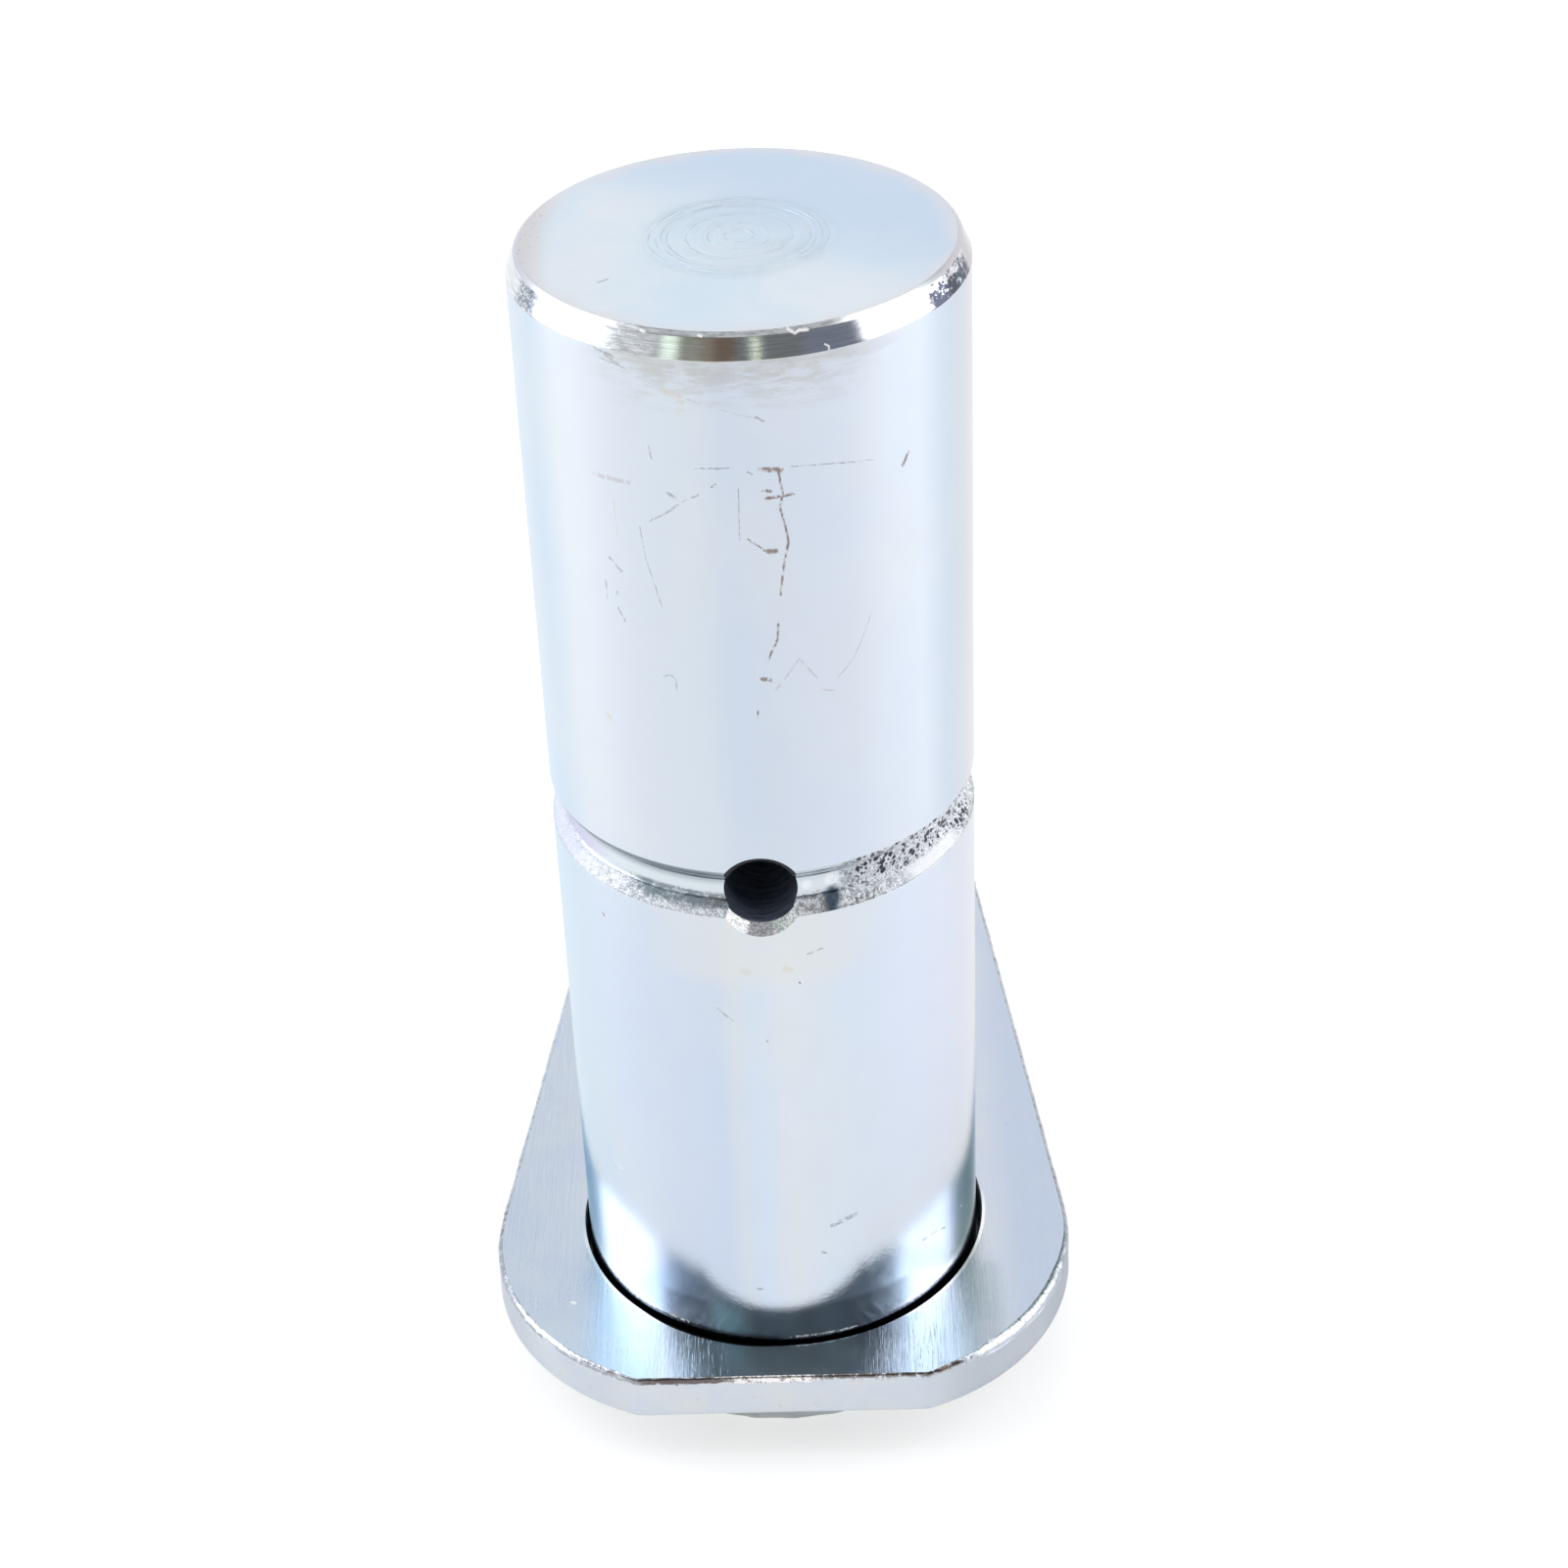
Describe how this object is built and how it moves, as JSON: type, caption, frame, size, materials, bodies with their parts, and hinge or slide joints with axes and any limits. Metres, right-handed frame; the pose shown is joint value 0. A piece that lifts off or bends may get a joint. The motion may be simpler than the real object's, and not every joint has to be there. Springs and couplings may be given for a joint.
{
  "type": "tilt pin",
  "caption": "Round pivot pin with a grease groove and cross hole, welded into a tapering flag plate with a retaining bolt hole.",
  "frame": {"origin": "on the pin's axis in the flag plate's seat face, the face that the pin's working length stands out of", "axes": "+Z along the pin towards its free tip, +Y along the flag plate towards the retaining bolt hole, the cross hole faces -Y"},
  "size_m": [0.056, 0.1191, 0.1143],
  "materials": {
    "pin_zinc": "turned steel, bright blue-white zinc plating",
    "plate_zinc": "ground steel plate, blue-white zinc plating",
    "weld_zinc": "rippled weld under zinc plating, duller than the plate"
  },
  "bodies": {
    "root": {"pin": "pin_zinc", "flag_plate": "plate_zinc", "weld_bead": "weld_zinc"}
  },
  "joints": []
}
